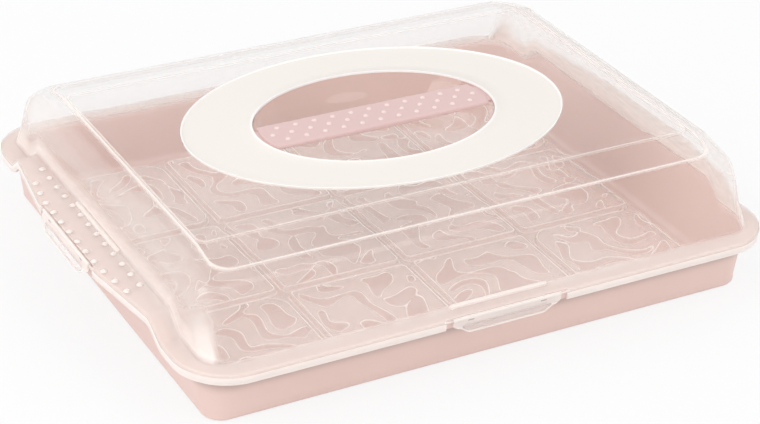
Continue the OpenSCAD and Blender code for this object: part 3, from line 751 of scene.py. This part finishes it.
def cell_at(x, y):
    """Column and row of the cell nearest to each point, and the distance in from its edge, which
    is negative out in the grooves."""
    column = np.clip(np.floor(x / CELL_PITCH[0]), -2, 1)
    row = np.clip(np.round(y / CELL_PITCH[1]), -1, 1)
    corner = np.isin(column, (-2, 1)) & (row != 0)
    radius = np.where(corner, 14.0, 4.0)
    dx = np.abs(x - (column + 0.5) * CELL_PITCH[0]) - CELL_HALF[0] + radius
    dy = np.abs(y - row * CELL_PITCH[1]) - CELL_HALF[1] + radius
    out = np.hypot(np.maximum(dx, 0), np.maximum(dy, 0)) + np.minimum(np.maximum(dx, dy), 0) - radius
    return column, row, -out


def squiggle(x, y, column, row, inside):
    """The relief's level: ripples on a warped plane, another stretch of it for every cell, drawn
    down towards the cell's edge so that its islands close. Above zero is an island."""
    x = x + 611 * column + 37 * row
    y = y + 433 * row - 53 * column
    u = x + 5 * ripple(x, y, WARP_X)
    v = y + 5 * ripple(x, y, WARP_Y)
    return ripple(u, v, SQUIGGLE) - 0.25 - 1.5 * (1 - smooth_step((inside - 2) / 8))


def relief(x, y):
    """Signed distance in millimetres from the nearest island's outline, which is the level over
    its slope, and the distance inside the cell."""
    column, row, inside = cell_at(x, y)
    step = 0.25
    level = squiggle(x, y, column, row, inside)
    east = squiggle(x + step, y, column, row, cell_at(x + step, y)[2])
    north = squiggle(x, y + step, column, row, cell_at(x, y + step)[2])
    slope = np.sqrt((east - level) ** 2 + (north - level) ** 2) / step
    return level / np.hypot(slope, 0.08), inside


CELL_EDGE = np.array([-0.7, -0.4, -0.1, 0.2, 0.5, 0.8, 1.1, 1.4, 1.8, 2.3])


def cell_lines(half, low_end, high_end, pitch=0.92):
    """Grid lines across one cell and into the grooves beside it, crowded at the cell's edges."""
    low = -half - np.concatenate([low_end, CELL_EDGE]) * -1
    high = (half - np.concatenate([high_end, CELL_EDGE]))[::-1]
    inner = half - CELL_EDGE[-1]
    return np.concatenate([low, np.linspace(-inner, inner, int(2 * inner / pitch))[1:-1], high])


OUTER = (-GROOVE_W, -3.6, -2.4, -1.4)


def insert_column(column):
    """One column of cells: the upper face stands on the plate in steps at the cell edges, with a
    bead along them and along the islands' outlines, and the underside follows the steps a wall
    below. Also its milky share and its signed distance from the islands' outlines."""
    seam = (-GROOVE_W / 2 + 0.06, -1.5)
    ends = (OUTER if column == -2 else seam, OUTER if column == 1 else seam)
    x = (column + 0.5) * CELL_PITCH[0] + cell_lines(CELL_HALF[0], *ends)
    y = np.concatenate([
        row * CELL_PITCH[1] + cell_lines(CELL_HALF[1], OUTER if row == -1 else (-2.5, -1.5),
                                         OUTER if row == 1 else (-1.5,))
        for row in (-1, 0, 1)])
    at_corner = np.clip(np.abs(x) - INSERT_A + INSERT_R, 0, INSERT_R)
    round_off = INSERT_R - np.sqrt(np.clip(INSERT_R ** 2 - at_corner ** 2, 0, None))
    gx = np.broadcast_to(x, (len(y), len(x)))
    gy = y[:, None] * (INSERT_B - round_off)[None] / INSERT_B
    away, inside = relief(gx, gy)
    on_cell = smooth_step((inside - 1.8) / 0.8)
    step_up = smooth_step((inside + 0.5) / 1.0)
    low = INSERT_Z + INSERT_T
    bead = 0.5 * np.exp(-((inside - 1.1) / 0.55) ** 2)
    lines = np.exp(-(away / 0.6) ** 2)
    islands = 0.25 * lines - 0.4 * smooth_step((away + 0.4) / 0.8)
    top = low + (CELL_TOP - low) * step_up + bead + on_cell * islands
    under = INSERT_Z + (CELL_TOP - low) * smooth_step((inside - INSERT_T + 0.5) / 1.0)
    foot = np.exp(-((inside + 0.6) / 0.3) ** 2)
    land = INSERT_MILK - INSERT_FADE * smooth_step((gx - 60) / 120)
    milk = land * (1 - on_cell * smooth_step((away + 0.3) / 0.6))
    # The bead and the foot along each cell's edge are made milky: painted highlight lines.
    milk = milk + 0.8 * np.exp(-((inside - 1.1) / 0.4) ** 2) + 0.6 * foot
    away = np.where(inside > 1.8, np.clip(away, -AWAY_CAP, AWAY_CAP), -AWAY_CAP)
    skin = slab(np.stack([gx, gy, top], axis=-1), np.stack([gx, gy, under], axis=-1))
    milk = np.concatenate([milk.ravel(), np.full(milk.size, 0.04)])
    away = np.concatenate([away.ravel(), np.full(away.size, -AWAY_CAP)])
    return skin, milk, away


# ---- materials ------------------------------------------------------------------------------

def srgb(*values):
    """Linear colour from sRGB numbers of 0 to 255."""
    c = np.array(values, float) / 255
    return tuple(np.where(c <= 0.04045, c / 12.92, ((c + 0.055) / 1.055) ** 2.4)) + (1.0,)


def math_node(tree, operation, *values, clamp=False):
    """The result of a Math node whose inputs are numbers or sockets that feed them."""
    node = tree.nodes.new("ShaderNodeMath")
    node.operation = operation
    node.use_clamp = clamp
    for socket, value in zip(node.inputs, values):
        if isinstance(value, bpy.types.NodeSocket):
            tree.links.new(value, socket)
        else:
            socket.default_value = value
    return node.outputs[0]


def attribute_node(tree, name):
    """A number that a piece holds at each of its points."""
    node = tree.nodes.new("ShaderNodeAttribute")
    node.attribute_name = name
    return node.outputs["Fac"]


def bare_rays(tree):
    """One for rays that come straight from the camera, through clear plastic or off a gloss."""
    path = tree.nodes.new("ShaderNodeLightPath").outputs
    seen = math_node(tree, "MAXIMUM", path["Is Camera Ray"], path["Is Transmission Ray"])
    return math_node(tree, "MAXIMUM", path["Is Glossy Ray"], seen)


def mixed_shader(tree, share, low, high):
    """Two shaders mixed by a share, which is nought for the first."""
    node = tree.nodes.new("ShaderNodeMixShader")
    for socket, value in zip(node.inputs, (share, low, high)):
        tree.links.new(value, socket)
    return node.outputs[0]


def grain_group():
    """A moulded plastic's faint unevenness: slow colour drift and a fine skin texture."""
    group = bpy.data.node_groups.new("moulded_grain", "ShaderNodeTree")
    for name, kind, default in (("Base", "Color", (0.8, 0.8, 0.8, 1)), ("Drift", "Float", 0.04),
                                ("Fine Scale", "Float", 900.0), ("Fine Depth", "Float", 0.15),
                                ("Roughness", "Float", 0.4)):
        socket = group.interface.new_socket(name, in_out="INPUT", socket_type="NodeSocket" + kind)
        socket.default_value = default
    for name, kind in (("Color", "Color"), ("Roughness", "Float"), ("Normal", "Vector")):
        group.interface.new_socket(name, in_out="OUTPUT", socket_type="NodeSocket" + kind)
    n, link = group.nodes, group.links.new
    inputs, outputs = n.new("NodeGroupInput").outputs, n.new("NodeGroupOutput").inputs
    spot = n.new("ShaderNodeTexCoord")
    slow, fine = n.new("ShaderNodeTexNoise"), n.new("ShaderNodeTexNoise")
    slow.inputs["Scale"].default_value = 14.0
    for noise in (slow, fine):
        noise.inputs["Detail"].default_value = 2.0
        link(spot.outputs["Object"], noise.inputs["Vector"])
    link(inputs["Fine Scale"], fine.inputs["Scale"])
    centred = math_node(group, "SUBTRACT", slow.outputs["Fac"], 0.5)
    drift = math_node(group, "MULTIPLY_ADD", centred, inputs["Drift"], 1.0)
    tint = n.new("ShaderNodeVectorMath")
    tint.operation = "SCALE"
    link(inputs["Base"], tint.inputs[0])
    link(drift, tint.inputs["Scale"])
    link(tint.outputs[0], outputs["Color"])
    link(math_node(group, "MULTIPLY", inputs["Roughness"], drift), outputs["Roughness"])
    bump = n.new("ShaderNodeBump")
    bump.inputs["Distance"].default_value = 0.0001
    link(inputs["Fine Depth"], bump.inputs["Strength"])
    link(fine.outputs["Fac"], bump.inputs["Height"])
    link(bump.outputs[0], outputs["Normal"])
    return group


def new_material(name):
    """A material with its node tree, its Principled shader and its output."""
    material = bpy.data.materials.new(name)
    material.use_nodes = True
    tree = material.node_tree
    return material, tree, tree.nodes["Principled BSDF"], tree.nodes["Material Output"]


def moulded(name, colour, roughness, drift=0.04, fine=900.0, depth=0.05, shaded=0.0):
    """Opaque moulded plastic, darker by the shaded share where its shade attribute is one."""
    material, tree, shader, output = new_material(name)
    group = tree.nodes.new("ShaderNodeGroup")
    group.node_tree = bpy.data.node_groups.get("moulded_grain") or grain_group()
    for socket, value in (("Base", colour), ("Drift", drift), ("Fine Scale", fine), ("Fine Depth", depth),
                          ("Roughness", roughness)):
        group.inputs[socket].default_value = value
    if shaded:
        mix = tree.nodes.new("ShaderNodeMix")
        mix.data_type = "RGBA"
        # A Mix node's inputs 6 and 7 and its output 2 are the ones for colours
        mix.inputs[6].default_value = colour
        mix.inputs[7].default_value = tuple(c * (1 - shaded) for c in colour[:3]) + (1.0,)
        tree.links.new(attribute_node(tree, "shade"), mix.inputs[0])
        tree.links.new(mix.outputs[2], group.inputs["Base"])
    tree.links.new(group.outputs["Color"], shader.inputs["Base Color"])
    tree.links.new(group.outputs["Roughness"], shader.inputs["Roughness"])
    tree.links.new(group.outputs["Normal"], shader.inputs["Normal"])
    return material


# The skins bend light this little, so that what lies behind them stays in place
THIN_WALL_IOR = 1.02


def clear_plastic(name, roughness, milk, milk_colour, line=0.0, block=0.8):
    """Clear moulded plastic: refracting, with a milky share that follows the piece's milk
    attribute, and a milky line of the given strength where its away attribute is near zero. Rays
    from lamps and soft light pass straight through, save for the blocked share of the milk."""
    material, tree, shader, output = new_material(name)
    n, link = tree.nodes, tree.links.new
    for socket, value in (("Base Color", (1, 1, 1, 1)), ("Transmission Weight", 1.0),
                          ("Roughness", roughness), ("IOR", THIN_WALL_IOR), ("Coat Weight", 0.7),
                          ("Coat Roughness", roughness)):
        shader.inputs[socket].default_value = value
    cloud = n.new("ShaderNodeBsdfPrincipled")
    for socket, value in (("Base Color", milk_colour), ("Roughness", 0.35), ("Subsurface Weight", 0.5),
                          ("Subsurface Scale", 0.003), ("Subsurface Radius", (1.0, 0.95, 0.9))):
        cloud.inputs[socket].default_value = value
    if line:
        size = math_node(tree, "ABSOLUTE", attribute_node(tree, "away"))
        drawn = n.new("ShaderNodeMapRange")
        drawn.interpolation_type = "SMOOTHSTEP"
        for socket, value in (("From Min", 0.2), ("From Max", 0.55), ("To Min", line), ("To Max", 0.0)):
            drawn.inputs[socket].default_value = value
        link(size, drawn.inputs["Value"])
        milk = drawn.outputs["Result"]
    cloudy = math_node(tree, "ADD", attribute_node(tree, "milk"), milk, clamp=True)
    seen = mixed_shader(tree, cloudy, shader.outputs[0], cloud.outputs[0])
    path = n.new("ShaderNodeLightPath").outputs
    soft = math_node(tree, "MAXIMUM", path["Is Shadow Ray"], path["Is Diffuse Ray"])
    passed = math_node(tree, "MULTIPLY", soft, math_node(tree, "MULTIPLY_ADD", cloudy, -block, 1.0))
    through = n.new("ShaderNodeBsdfTransparent")
    through.inputs[0].default_value = (1, 1, 1, 1)
    link(mixed_shader(tree, passed, seen, through.outputs[0]), output.inputs["Surface"])
    return material


def set_points(piece, name, values):
    """Writes one number a point as a piece's attribute."""
    attribute = piece.data.attributes.new(name, "FLOAT", "POINT")
    attribute.data.foreach_set("value", np.asarray(values, np.float32))


def points_of(piece):
    """A piece's points in millimetres."""
    co = np.empty(len(piece.data.vertices) * 3, np.float32)
    piece.data.vertices.foreach_get("co", co)
    return co.reshape(-1, 3) / MM


def place(piece, body, slot, *nodes):
    """Lets a piece ride on its body and hides the nodes that it stands for. Its slot is not used."""
    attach(piece, body)
    if nodes:
        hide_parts(*nodes)


# ---- settings -------------------------------------------------------------------------------

def colour_prop(name, description, default):
    """A colour that the sidebar shows."""
    return bpy.props.FloatVectorProperty(name=name, description=description, default=default, size=4,
                                         min=0, max=1, subtype="COLOR")


class CarrierColours(bpy.types.PropertyGroup):
    tray: colour_prop("Tray", "Colour of the tray", srgb(232, 204, 195))
    handle: colour_prop("Handle", "Colour of the carrying bar", srgb(226, 195, 191))
    # The bumps' colour is lighter than the bar's: a painted highlight.
    bumps: colour_prop("Bar bumps", "Colour of the carrying bar's bumps", srgb(243, 221, 217))
    ring: colour_prop("Ring", "Colour of the matt oval ring", srgb(244, 238, 231))
    # The ring's edges are drawn whiter than the ring: a painted highlight.
    edge: colour_prop("Ring edges", "Colour of the ring's polished edges", srgb(255, 252, 249))
    milk: colour_prop("Milk", "Colour of the clear plastic's haze", srgb(255, 240, 233))


class StageSettings(bpy.types.PropertyGroup):
    lens: bpy.props.FloatProperty(name="Lens", description="Focal length on a 36 mm sensor", default=105.1,
                                  unit="CAMERA")
    eye: bpy.props.FloatVectorProperty(name="Eye", description="Camera's place", subtype="TRANSLATION",
                                       default=(-0.6569, -1.1677, 0.7669), unit="LENGTH")
    yaw: bpy.props.FloatProperty(name="Yaw", description="Turn about the vertical",
                                 default=math.radians(-29.62), subtype="ANGLE")
    pitch: bpy.props.FloatProperty(name="Pitch", description="Tilt down", default=math.radians(29.15),
                                   subtype="ANGLE")
    roll: bpy.props.FloatProperty(name="Roll", description="Roll about the view",
                                  default=math.radians(2.30), subtype="ANGLE")


# ---- operators ------------------------------------------------------------------------------

class CARRIER_OT_tray(bpy.types.Operator):
    """Build the pink tray"""

    bl_idname = "carrier.tray"
    bl_label = "Tray"

    def execute(self, context):
        colours = context.scene.carrier_colours
        plastic = moulded("tray_plastic_pink", colours.tray, 0.42, shaded=0.3)
        rings, shade = tray_rings()
        tray = mesh_object("tray_shell", *loft(rings), plastic, smooth_angle=50)
        set_points(tray, "shade", np.append(np.repeat(shade, len(rings[0])), [0, 0]))
        place(tray, "base", "tray_plastic", "tray")
        return {"FINISHED"}


class CARRIER_OT_lid(bpy.types.Operator):
    """Build the lid: the clear dome, the matt ring, the well and the grip bumps"""

    bl_idname = "carrier.lid"
    bl_label = "Lid"

    def execute(self, context):
        colours = context.scene.carrier_colours
        clear = clear_plastic("lid_plastic_clear", 0.03, 0.02, colours.milk)
        rows = lid_rings()
        dome = mesh_object("lid_dome", *hoop([ring for ring, milk in rows]), clear, smooth_angle=50)
        milk = np.repeat([milk for ring, milk in rows], len(rows[0][0]))
        set_points(dome, "milk", np.clip(milk + haze(points_of(dome)), 0, 1))
        place(dome, "cover", "lid_plastic", "lid")
        matt = moulded("lid_ring_matt", colours.ring, 0.5, drift=0.02, fine=1500.0, depth=0.3)
        rings, edge = ring_section()
        ring = mesh_object("lid_ring", *hoop(rings), matt, smooth_angle=50)
        # The ring's two rolled edges take a whiter, glossier material: the whiteness is a painted
        # highlight.
        ring.data.materials.append(moulded("lid_ring_edge_painted_highlight", colours.edge, 0.2))
        ring.data.polygons.foreach_set("material_index", np.repeat(edge * np.roll(edge, -1), len(rings[0])))
        place(ring, "cover", "lid_plastic")
        well = mesh_object("lid_well", *loft(well_rings()), clear, smooth_angle=50)
        place(well, "cover", "lid_plastic")
        # The grip bumps and the ledges are all but fully milky: painted highlights on clear plastic.
        for name, skin, milk in (("grip_bumps", self.bumps(), 1.0), ("flange_ledges", self.ledges(), 0.95)):
            piece = mesh_object(name, *skin, clear, smooth_angle=60)
            set_points(piece, "milk", np.full(len(skin[0]), milk))
            place(piece, "cover", "lid_plastic")
        return {"FINISHED"}

    def bumps(self):
        """Two rows of low domes on each end wing: a straight one of 13 by the dome, and one of 12
        that follows the wing's edge."""
        inner = np.arange(-5.5, 7) * BUMP_PITCH
        outer = np.arange(-5.5 + BUMP_SHIFT, 6.2) * BUMP_PITCH
        top = FLANGE_Z + WING_RISE
        edge = SKIRT_A - OUTER_ROW + wing_reach(outer)
        x = np.concatenate([np.full(len(inner), FOOT_A + INNER_ROW), edge])
        y = np.concatenate([-inner, outer])
        x, y = np.concatenate([x, -x]), np.concatenate([y, -y])
        return dome_patch(x, y, np.full(len(x), top), GRIP_R, GRIP_R, GRIP_H)

    def ledges(self):
        """A low bar at the dome's foot above each clip."""
        points, quads, triangles = ledge(LEDGE_L, LEDGE_W, LEDGE_H)
        places = ((0, (0, -FOOT_B, FLANGE_Z)), (180, (0, FOOT_B, FLANGE_Z)),
                  (90, (FOOT_A, 0, FLANGE_Z + WING_RISE)), (-90, (-FOOT_A, 0, FLANGE_Z + WING_RISE)))
        return merged(*[(turned(points, turn, at), quads, triangles) for turn, at in places])


class CARRIER_OT_handle(bpy.types.Operator):
    """Build the carrying bar with its grip bumps and the tongues that hold it"""

    bl_idname = "carrier.handle"
    bl_label = "Handle"

    def execute(self, context):
        colours = context.scene.carrier_colours
        plastic = moulded("handle_plastic_rose", colours.handle, 0.36)
        # The bumps are lighter than the bar: a painted highlight, on a glossier finish.
        glossy_painted_highlight = moulded("handle_bumps_painted_highlight", colours.bumps, 0.18)
        half = BAR_W / 2 - 4
        low = RING_Z - BAR_END_H - 0.4
        high = low + TONGUE_T
        near, far = BAR_A - 4, WELL_A + 1
        tongues = [block([-far, -half, low], [-near, half, high]),
                   block([near, -half, low], [far, half, high])]
        bar = mesh_object("handle_bar", *merged(bar_skin(), *tongues), plastic, smooth_angle=40)
        place(bar, "cover", "handle_plastic", "handle")
        bumps = mesh_object("handle_bumps", *bar_bumps(), glossy_painted_highlight, smooth_angle=60)
        place(bumps, "cover", "handle_plastic")
        return {"FINISHED"}


class CARRIER_OT_clips(bpy.types.Operator):
    """Build the four hinged clips"""

    bl_idname = "carrier.clips"
    bl_label = "Clips"

    def execute(self, context):
        colours = context.scene.carrier_colours
        frosted = clear_plastic("clip_plastic_frosted", 0.12, 0.0, colours.milk, block=1.0)
        (points, quads, triangles), milk = clip_parts()
        for side, turn, at in CLIP_PLACES:
            hung = swung(points, END_TILT if side in ("left", "right") else 0)
            skin = (turned(hung, turn, at), quads, triangles)
            clip = mesh_object(f"clip_{side}_flap", *skin, frosted, smooth_angle=40)
            set_points(clip, "milk", milk)
            place(clip, f"{side}_clip", "clip_plastic", f"clip_{side}")
        return {"FINISHED"}


class CARRIER_OT_insert(bpy.types.Operator):
    """Build the embossed insert, a column of cells at a time"""

    bl_idname = "carrier.insert"
    bl_label = "Insert"

    def execute(self, context):
        colours = context.scene.carrier_colours
        # The milky lines along the islands' outlines are painted highlights.
        clear = clear_plastic("insert_plastic_embossed", 0.06, 0.0, colours.milk, line=1.0, block=0.4)
        for column in range(-2, 2):
            skin, milk, away = insert_column(column)
            piece = mesh_object(f"insert_column_{column + 3}", *skin, clear, smooth_angle=60)
            set_points(piece, "milk", milk)
            set_points(piece, "away", away)
            place(piece, "liner", "insert_plastic", "insert")
        return {"FINISHED"}


FLOOR_SIZE = 12000.0
FLOOR_GLOW = 0.8
# Name, place in metres, size in metres and power in watts of each lamp
LAMPS = (("key", (-2.2, -0.5, 1.6), 1.9, 18.0), ("fill", (0.9, -1.9, 2.0), 1.3, 9.5),
         ("top", (-0.4, 1.6, 2.0), 1.2, 1.5))


class CARRIER_OT_stage(bpy.types.Operator):
    """Set the floor, the soft light and the camera"""

    bl_idname = "carrier.stage"
    bl_label = "Stage"

    def execute(self, context):
        settings = context.scene.carrier_stage
        self.camera(context, settings)
        self.floor()
        self.lights()
        self.world(context)
        context.scene.view_settings.view_transform = "Standard"
        return {"FINISHED"}

    def camera(self, context, s):
        """The camera looks along its own -Z, turned by yaw about the vertical, tilted and rolled."""
        level = math.cos(s.pitch)
        back = Vector((math.sin(s.yaw) * level, -math.cos(s.yaw) * level, math.sin(s.pitch)))
        right = Vector((0, 0, 1)).cross(back).normalized()
        up = back.cross(right)
        c, k = math.cos(s.roll), math.sin(s.roll)
        rolled = Matrix((right * c + up * k, up * c - right * k, back)).transposed().to_4x4()
        data = bpy.data.cameras.new("camera")
        data.sensor_width = 36
        data.sensor_fit = "HORIZONTAL"
        data.lens = s.lens
        camera = bpy.data.objects.new("camera", data)
        camera.matrix_world = Matrix.Translation(s.eye) @ rolled
        context.scene.collection.objects.link(camera)
        context.scene.camera = camera

    def floor(self):
        """A pale square that shows mostly white where it is seen and still takes the shadow."""
        material, tree, shader, output = new_material("floor_white")
        shader.inputs["Base Color"].default_value = (0.9, 0.9, 0.9, 1)
        shader.inputs["Roughness"].default_value = 0.9
        glow = tree.nodes.new("ShaderNodeEmission")
        share = math_node(tree, "MULTIPLY", bare_rays(tree), FLOOR_GLOW)
        both = mixed_shader(tree, share, shader.outputs[0], glow.outputs[0])
        tree.links.new(both, output.inputs["Surface"])
        half = FLOOR_SIZE / 2
        points = np.array([[-half, -half, 0], [half, -half, 0], [half, half, 0], [-half, half, 0]], float)
        floor = mesh_object("floor", points, [[0, 1, 2, 3]], np.zeros((0, 3), int), material)

    def lights(self):
        """Round soft lamps that face the carrier. The fill lamp shows in no reflection."""
        for name, spot, size, power in LAMPS:
            data = bpy.data.lights.new(name, "AREA")
            data.shape = "DISK"
            data.size = size
            data.energy = power
            lamp = bpy.data.objects.new(name, data)
            lamp.location = spot
            lamp.visible_glossy = name != "fill"
            lamp.rotation_euler = (Vector((0, 0, 0.05)) - Vector(spot)).to_track_quat("-Z", "Y").to_euler()
            bpy.context.scene.collection.objects.link(lamp)

    def world(self, context):
        """Soft white light, a little weaker from above, and plain white where it is seen."""
        world = bpy.data.worlds.new("studio")
        world.use_nodes = True
        tree = world.node_tree
        n, link = tree.nodes, tree.links.new
        soft = n["Background"]
        soft.inputs["Color"].default_value = (0.99, 0.99, 1.0, 1)
        towards = n.new("ShaderNodeTexCoord")
        parts = n.new("ShaderNodeSeparateXYZ")
        level = n.new("ShaderNodeMapRange")
        for socket, value in (("From Min", 0.0), ("From Max", 1.0), ("To Min", 1.08), ("To Max", 0.72)):
            level.inputs[socket].default_value = value
        link(towards.outputs["Generated"], parts.inputs[0])
        link(parts.outputs["Z"], level.inputs["Value"])
        link(level.outputs["Result"], soft.inputs["Strength"])
        white = n.new("ShaderNodeBackground")
        white.inputs["Strength"].default_value = 1.0
        both = mixed_shader(tree, bare_rays(tree), soft.outputs[0], white.outputs[0])
        link(both, n["World Output"].inputs["Surface"])
        context.scene.world = world


class CARRIER_PT_panel(bpy.types.Panel):
    """The carrier's colours, its pieces and the stage"""

    bl_label = "Cake Carrier"
    bl_idname = "CARRIER_PT_panel"
    bl_space_type = "VIEW_3D"
    bl_region_type = "UI"
    bl_category = "Cake Carrier"

    def draw(self, context):
        for settings in (context.scene.carrier_colours, context.scene.carrier_stage):
            for name in settings.__annotations__:
                self.layout.prop(settings, name)
        for operator in OPERATORS:
            self.layout.operator(operator.bl_idname)


OPERATORS = (CARRIER_OT_tray, CARRIER_OT_insert, CARRIER_OT_lid, CARRIER_OT_handle, CARRIER_OT_clips,
             CARRIER_OT_stage)
CLASSES = (CarrierColours, StageSettings, *OPERATORS, CARRIER_PT_panel)


def register():
    for cls in CLASSES:
        bpy.utils.register_class(cls)
    bpy.types.Scene.carrier_colours = bpy.props.PointerProperty(type=CarrierColours)
    bpy.types.Scene.carrier_stage = bpy.props.PointerProperty(type=StageSettings)


def unregister():
    del bpy.types.Scene.carrier_colours
    del bpy.types.Scene.carrier_stage
    for cls in reversed(CLASSES):
        bpy.utils.unregister_class(cls)


def main():
    register()
    for operator in OPERATORS:
        area, name = operator.bl_idname.split(".")
        getattr(getattr(bpy.ops, area), name)()


if __name__ == "__main__":
    main()
